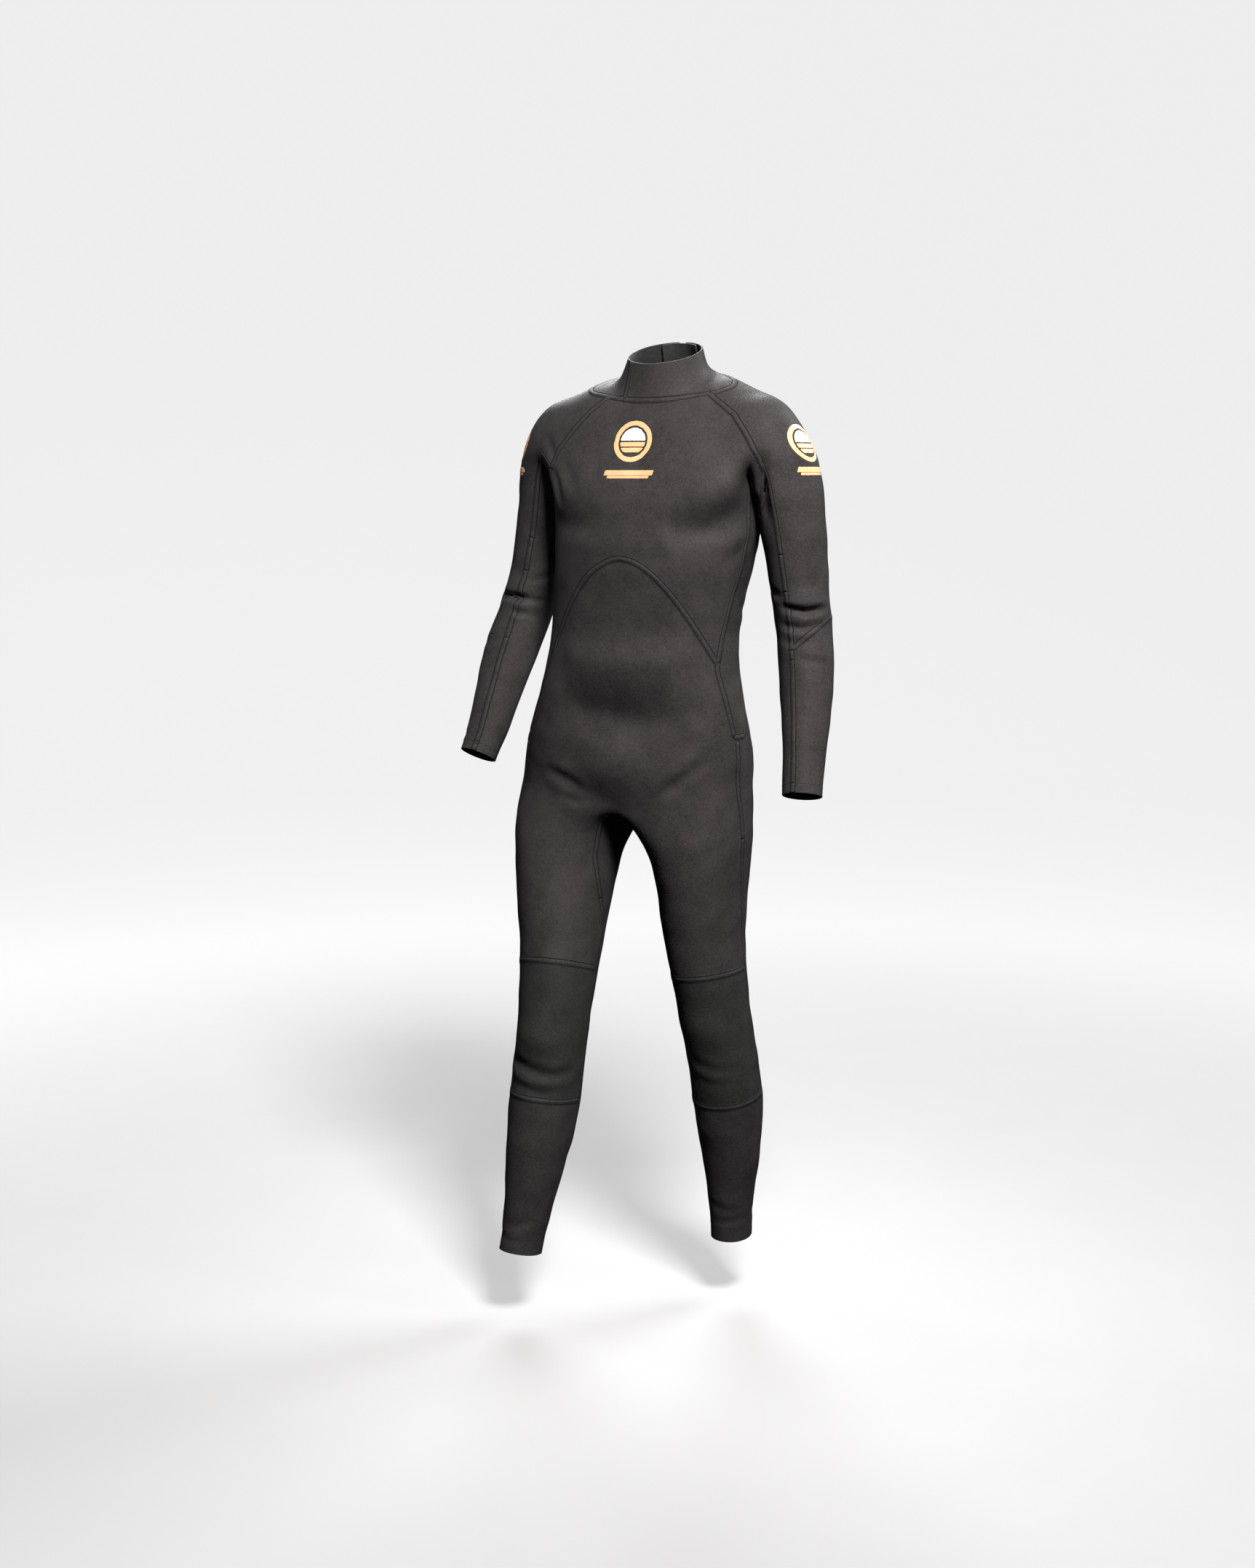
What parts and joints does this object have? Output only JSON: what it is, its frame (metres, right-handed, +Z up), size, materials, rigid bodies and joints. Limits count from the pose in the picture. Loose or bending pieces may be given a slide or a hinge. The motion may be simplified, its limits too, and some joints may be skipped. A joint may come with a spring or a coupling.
{
  "type": "full wetsuit",
  "caption": "Full-length neoprene wetsuit in its worn shape, with a high collar, raglan sleeves, knee pads, a back zip and limbs that bend.",
  "frame": {"origin": "centre of the neck opening, which carries the suit", "axes": "+Z up, from the ankles to the collar; the suit faces -Y, so the chest is on the -Y side and the zip on the +Y side; +X is the wearer's left"},
  "size_m": [0.6171, 0.328, 1.4548],
  "materials": {
    "neoprene_jersey": "charcoal nylon jersey over neoprene foam, matt with a soft sheen",
    "neoprene_knee_pad": "black abrasion-resistant knit on the knee pads",
    "neoprene_smooth": "smooth black neoprene skin",
    "woven_tape": "black woven zip tape",
    "moulded_teeth": "black moulded zip teeth",
    "slider_metal": "grey corrosion-resistant zip metal",
    "hook_tape": "black hook tape",
    "orange_print": "orange transfer print"
  },
  "bodies": {
    "torso": {"collar": "neoprene_jersey", "chest_panel": "neoprene_jersey", "abdomen_panel": "neoprene_jersey", "side_panel_left": "neoprene_jersey", "side_panel_right": "neoprene_jersey", "back_panel_left": "neoprene_jersey", "back_panel_right": "neoprene_jersey", "seat_panel": "neoprene_jersey", "crotch_gusset": "neoprene_jersey", "chest_badge": "orange_print", "chest_badge_bar": "orange_print", "sleeve_badge_left": "orange_print", "sleeve_badge_right": "orange_print", "zip_tape": "woven_tape", "batten_flap": "neoprene_smooth", "zip_chain": "moulded_teeth", "zip_bottom_stop": "slider_metal", "zip_top_stop": "slider_metal", "collar_hook_patch": "hook_tape", "shoulder_panel_left": "neoprene_jersey", "shoulder_panel_right": "neoprene_jersey", "hip_front_left": "neoprene_jersey", "hip_back_left": "neoprene_jersey", "hip_front_right": "neoprene_jersey", "hip_back_right": "neoprene_jersey"},
    "upper_arm_left": {"upper_sleeve_outer_left": "neoprene_jersey", "upper_sleeve_inner_left": "neoprene_jersey", "elbow_panel_outer_left": "neoprene_jersey", "elbow_panel_inner_left": "neoprene_jersey"},
    "forearm_left": {"forearm_outer_left": "neoprene_jersey", "forearm_inner_left": "neoprene_jersey", "wrist_hem_left": "neoprene_jersey"},
    "thigh_left": {"thigh_front_left": "neoprene_jersey", "thigh_back_left": "neoprene_jersey", "knee_pad_left": "neoprene_knee_pad", "knee_back_left": "neoprene_jersey"},
    "shin_left": {"shin_panel_left": "neoprene_jersey", "calf_panel_left": "neoprene_jersey", "ankle_hem_left": "neoprene_jersey"},
    "upper_arm_right": {"upper_sleeve_outer_right": "neoprene_jersey", "upper_sleeve_inner_right": "neoprene_jersey", "elbow_panel_outer_right": "neoprene_jersey", "elbow_panel_inner_right": "neoprene_jersey"},
    "forearm_right": {"forearm_outer_right": "neoprene_jersey", "forearm_inner_right": "neoprene_jersey", "wrist_hem_right": "neoprene_jersey"},
    "thigh_right": {"thigh_front_right": "neoprene_jersey", "thigh_back_right": "neoprene_jersey", "knee_pad_right": "neoprene_knee_pad", "knee_back_right": "neoprene_jersey"},
    "shin_right": {"shin_panel_right": "neoprene_jersey", "calf_panel_right": "neoprene_jersey", "ankle_hem_right": "neoprene_jersey"},
    "zip_slider": {"zip_slider": "slider_metal"},
    "zip_puller": {"zip_puller": "slider_metal"},
    "collar_tab": {"collar_tab": "neoprene_smooth"}
  },
  "joints": [
    {"name": "shoulder_left", "type": "hinge", "parent": "torso", "child": "upper_arm_left", "pos_m": [0.214, 0.01, -0.256], "axis": [0, -1, 0], "range_deg": [0, 45], "stiffness_Nm_per_rad": 5, "deforming": ["shoulder_panel_left"]},
    {"name": "elbow_left", "type": "hinge", "parent": "upper_arm_left", "child": "forearm_left", "pos_m": [0.232, 0.016, -0.412], "axis": [-1, 0, 0], "range_deg": [0, 90], "stiffness_Nm_per_rad": 3, "deforming": ["elbow_panel_outer_left", "elbow_panel_inner_left"]},
    {"name": "hip_left", "type": "hinge", "parent": "torso", "child": "thigh_left", "pos_m": [0.067, -0.01, -0.728], "axis": [-1, 0, 0], "range_deg": [-15, 45], "stiffness_Nm_per_rad": 20, "deforming": ["hip_front_left", "hip_back_left"]},
    {"name": "knee_left", "type": "hinge", "parent": "thigh_left", "child": "shin_left", "pos_m": [0.0956, 0.003, -1.0735], "axis": [1, 0, 0], "range_deg": [0, 100], "stiffness_Nm_per_rad": 10, "deforming": ["knee_pad_left", "knee_back_left"]},
    {"name": "shoulder_right", "type": "hinge", "parent": "torso", "child": "upper_arm_right", "pos_m": [-0.2204, 0.0308, -0.2387], "axis": [0, 1, 0], "range_deg": [0, 45], "stiffness_Nm_per_rad": 5, "deforming": ["shoulder_panel_right"]},
    {"name": "elbow_right", "type": "hinge", "parent": "upper_arm_right", "child": "forearm_right", "pos_m": [-0.257, 0.02, -0.398], "axis": [-1, 0, 0], "range_deg": [0, 90], "stiffness_Nm_per_rad": 3, "deforming": ["elbow_panel_outer_right", "elbow_panel_inner_right"]},
    {"name": "hip_right", "type": "hinge", "parent": "torso", "child": "thigh_right", "pos_m": [-0.155, -0.02, -0.728], "axis": [-1, 0, 0], "range_deg": [-15, 45], "stiffness_Nm_per_rad": 20, "deforming": ["hip_front_right", "hip_back_right"]},
    {"name": "knee_right", "type": "hinge", "parent": "thigh_right", "child": "shin_right", "pos_m": [-0.1407, -0.1226, -1.0665], "axis": [1, 0, 0], "range_deg": [0, 100], "stiffness_Nm_per_rad": 10, "deforming": ["knee_pad_right", "knee_back_right"]},
    {"name": "zip_slide", "type": "hinge", "parent": "torso", "child": "zip_slider", "pos_m": [-0.006, -0.887, -0.19], "axis": [-0.9985, 0, 0.0549], "range_deg": [0, 22]},
    {"name": "puller_lift", "type": "hinge", "parent": "zip_slider", "child": "zip_puller", "pos_m": [0.00215, 0.09648, -0.0419], "axis": [0.9985, 0, -0.0549], "range_deg": [0, 140]},
    {"name": "collar_tab_peel", "type": "hinge", "parent": "torso", "child": "collar_tab", "pos_m": [0.0304, 0.0681, -0.0074], "axis": [0, 0.33, -0.944], "range_deg": [0, 110]}
  ]
}
